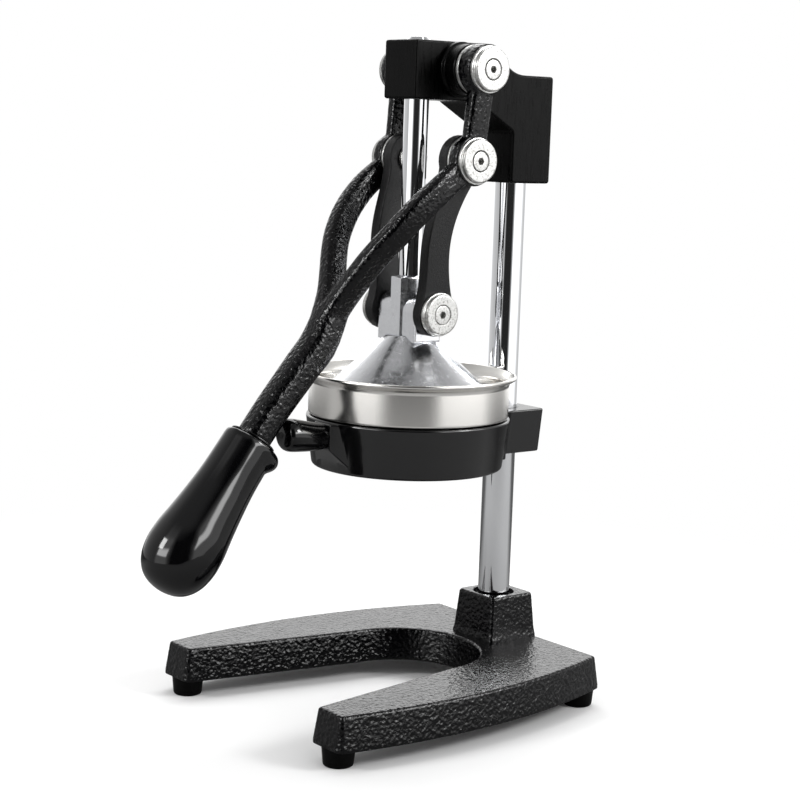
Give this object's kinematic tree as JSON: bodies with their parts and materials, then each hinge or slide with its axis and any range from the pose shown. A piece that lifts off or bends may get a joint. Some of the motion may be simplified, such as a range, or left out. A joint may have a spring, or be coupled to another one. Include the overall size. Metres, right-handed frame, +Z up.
{
  "type": "lever citrus juice press",
  "caption": "Upright citrus press: a cast stand with a column, a forked lever on a pair of links, a sliding press cone and a steel juice cup with a strainer.",
  "frame": {"origin": "on the floor, under the middle of the whole press's bounding box", "axes": "+Z up along the column, -Y to the front where the lever points, X across the press, with X = 0 its plane of symmetry"},
  "size_m": [0.1926, 0.2702, 0.3895],
  "materials": {
    "hammered_black": "black hammered enamel on cast iron, glossy with a coarse orange-peel texture",
    "satin_black": "black satin enamel on cast iron",
    "gloss_black": "smooth gloss black enamel on cast iron",
    "black_plastic": "polished black moulded plastic",
    "black_rubber": "matt black moulded rubber",
    "chrome": "bright chrome plate",
    "zinc_plated": "zinc-plated steel, lightly marked",
    "stainless": "satin stainless steel",
    "polished_aluminium": "polished cast aluminium"
  },
  "bodies": {
    "stand": {"base_casting": "hammered_black", "head_casting": "satin_black", "cup_holder": "gloss_black", "holder_handle": "black_plastic", "foot_front_left": "black_rubber", "foot_front_right": "black_rubber", "foot_rear_left": "black_rubber", "foot_rear_right": "black_rubber", "column": "chrome", "juice_cup": "stainless", "strainer_cone": "stainless", "foot_screw_front_left": "zinc_plated", "foot_screw_front_right": "zinc_plated", "foot_screw_rear_left": "zinc_plated", "foot_screw_rear_right": "zinc_plated", "column_washer": "zinc_plated", "column_bolt": "zinc_plated", "head_set_screw": "zinc_plated", "holder_set_screw": "zinc_plated", "pivot_shaft": "zinc_plated", "handle_stud": "zinc_plated", "pivot_washer_left": "zinc_plated", "pivot_cap_left": "zinc_plated", "pivot_screw_left": "zinc_plated", "pivot_washer_right": "zinc_plated", "pivot_cap_right": "zinc_plated", "pivot_screw_right": "zinc_plated"},
    "lever": {"lever_casting": "hammered_black", "lever_grip": "black_plastic", "grip_collar": "black_plastic", "elbow_pin_left": "zinc_plated", "elbow_washer_left": "zinc_plated", "elbow_cap_left": "zinc_plated", "elbow_screw_left": "zinc_plated", "elbow_pin_right": "zinc_plated", "elbow_washer_right": "zinc_plated", "elbow_cap_right": "zinc_plated", "elbow_screw_right": "zinc_plated"},
    "plunger": {"plunger_rod": "chrome", "press_cone": "polished_aluminium", "cross_pin": "zinc_plated", "lower_cap_left": "zinc_plated", "lower_screw_left": "zinc_plated", "lower_cap_right": "zinc_plated", "lower_screw_right": "zinc_plated"},
    "links": {"link_left": "satin_black", "link_pin_left": "zinc_plated", "link_right": "satin_black", "link_pin_right": "zinc_plated"}
  },
  "joints": [
    {"name": "lever_swing", "type": "hinge", "parent": "stand", "child": "lever", "pos_m": [0, 0.0581, 0.3719], "axis": [-1, 0, 0], "range_deg": [0, 90]},
    {"name": "plunger_slide", "type": "slide", "parent": "stand", "child": "plunger", "axis": [0, 0, 1], "range_m": [0, 0.0613]},
    {"name": "link_swing", "type": "hinge", "parent": "plunger", "child": "links", "pos_m": [0, 0.0397, 0.23347], "axis": [1, 0, 0], "range_deg": [0, 30.51]}
  ],
  "couplings": [
    {"joint": "plunger_slide", "follows": "lever_swing", "m_per_rad": 0.038963},
    {"joint": "link_swing", "follows": "lever_swing", "ratio": 0.33842}
  ]
}
